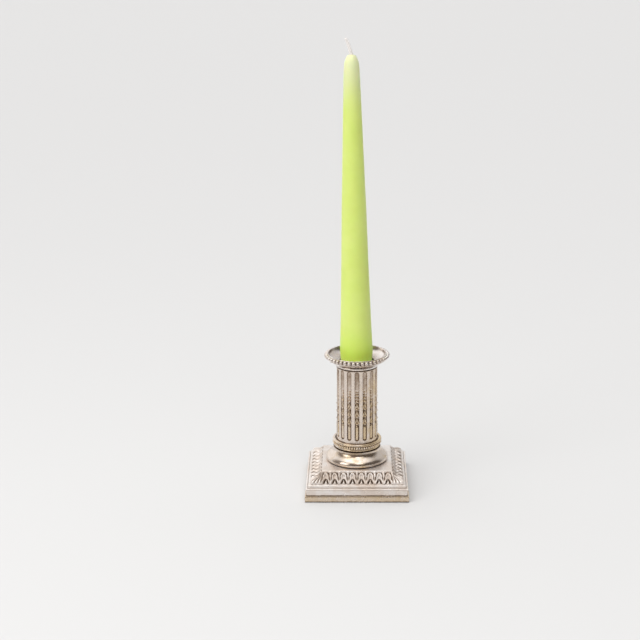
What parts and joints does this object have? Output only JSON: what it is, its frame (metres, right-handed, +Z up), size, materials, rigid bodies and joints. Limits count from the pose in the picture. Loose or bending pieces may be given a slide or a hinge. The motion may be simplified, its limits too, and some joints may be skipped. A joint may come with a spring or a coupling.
{
  "type": "candlestick",
  "caption": "Small column candlestick in worn silver plate: square stepped base with a leaf border, round foot, fluted column and a lift-out beaded nozzle holding a green taper candle.",
  "frame": {"origin": "centre of the felt under the base, on the surface that the candlestick stands on", "axes": "+Z up along the column, +X to the right and -Y to the front; the candle leans a little towards -X"},
  "size_m": [0.0724, 0.0724, 0.3143],
  "materials": {
    "silver_plate": "polished silver plate on brass, warm with age, dark in the recesses",
    "worn_plate": "silver plate worn through to yellow metal",
    "cast_iron": "rough casting",
    "plain_steel": "plain rolled steel",
    "baize": "felt",
    "green_wax": "smooth lime-green candle wax with a soft gloss",
    "cotton_wick": "plaited white cotton"
  },
  "bodies": {
    "stand": {"base_shell": "silver_plate", "plinth_band": "silver_plate", "base_weight": "cast_iron", "base_cover": "plain_steel", "felt_pad": "baize", "tie_rod": "plain_steel", "rod_nut": "plain_steel", "rod_washer": "plain_steel", "round_foot": "silver_plate", "torus_ring": "worn_plate", "ring_beading": "worn_plate", "fluted_column": "silver_plate", "column_plug": "worn_plate", "column_collar": "silver_plate"},
    "nozzle": {"drip_pan": "silver_plate", "pan_beading": "silver_plate", "candle_cup": "worn_plate", "cup_floor": "worn_plate"},
    "candle": {"candle_body": "green_wax", "candle_wick": "cotton_wick"}
  },
  "joints": [
    {"name": "nozzle_lift", "type": "slide", "parent": "stand", "child": "nozzle", "axis": [0, 0, 1], "range_m": [0, 0.04]},
    {"name": "candle_lift", "type": "slide", "parent": "nozzle", "child": "candle", "axis": [-0.0161, 0, 0.9999], "range_m": [0, 0.06]}
  ]
}
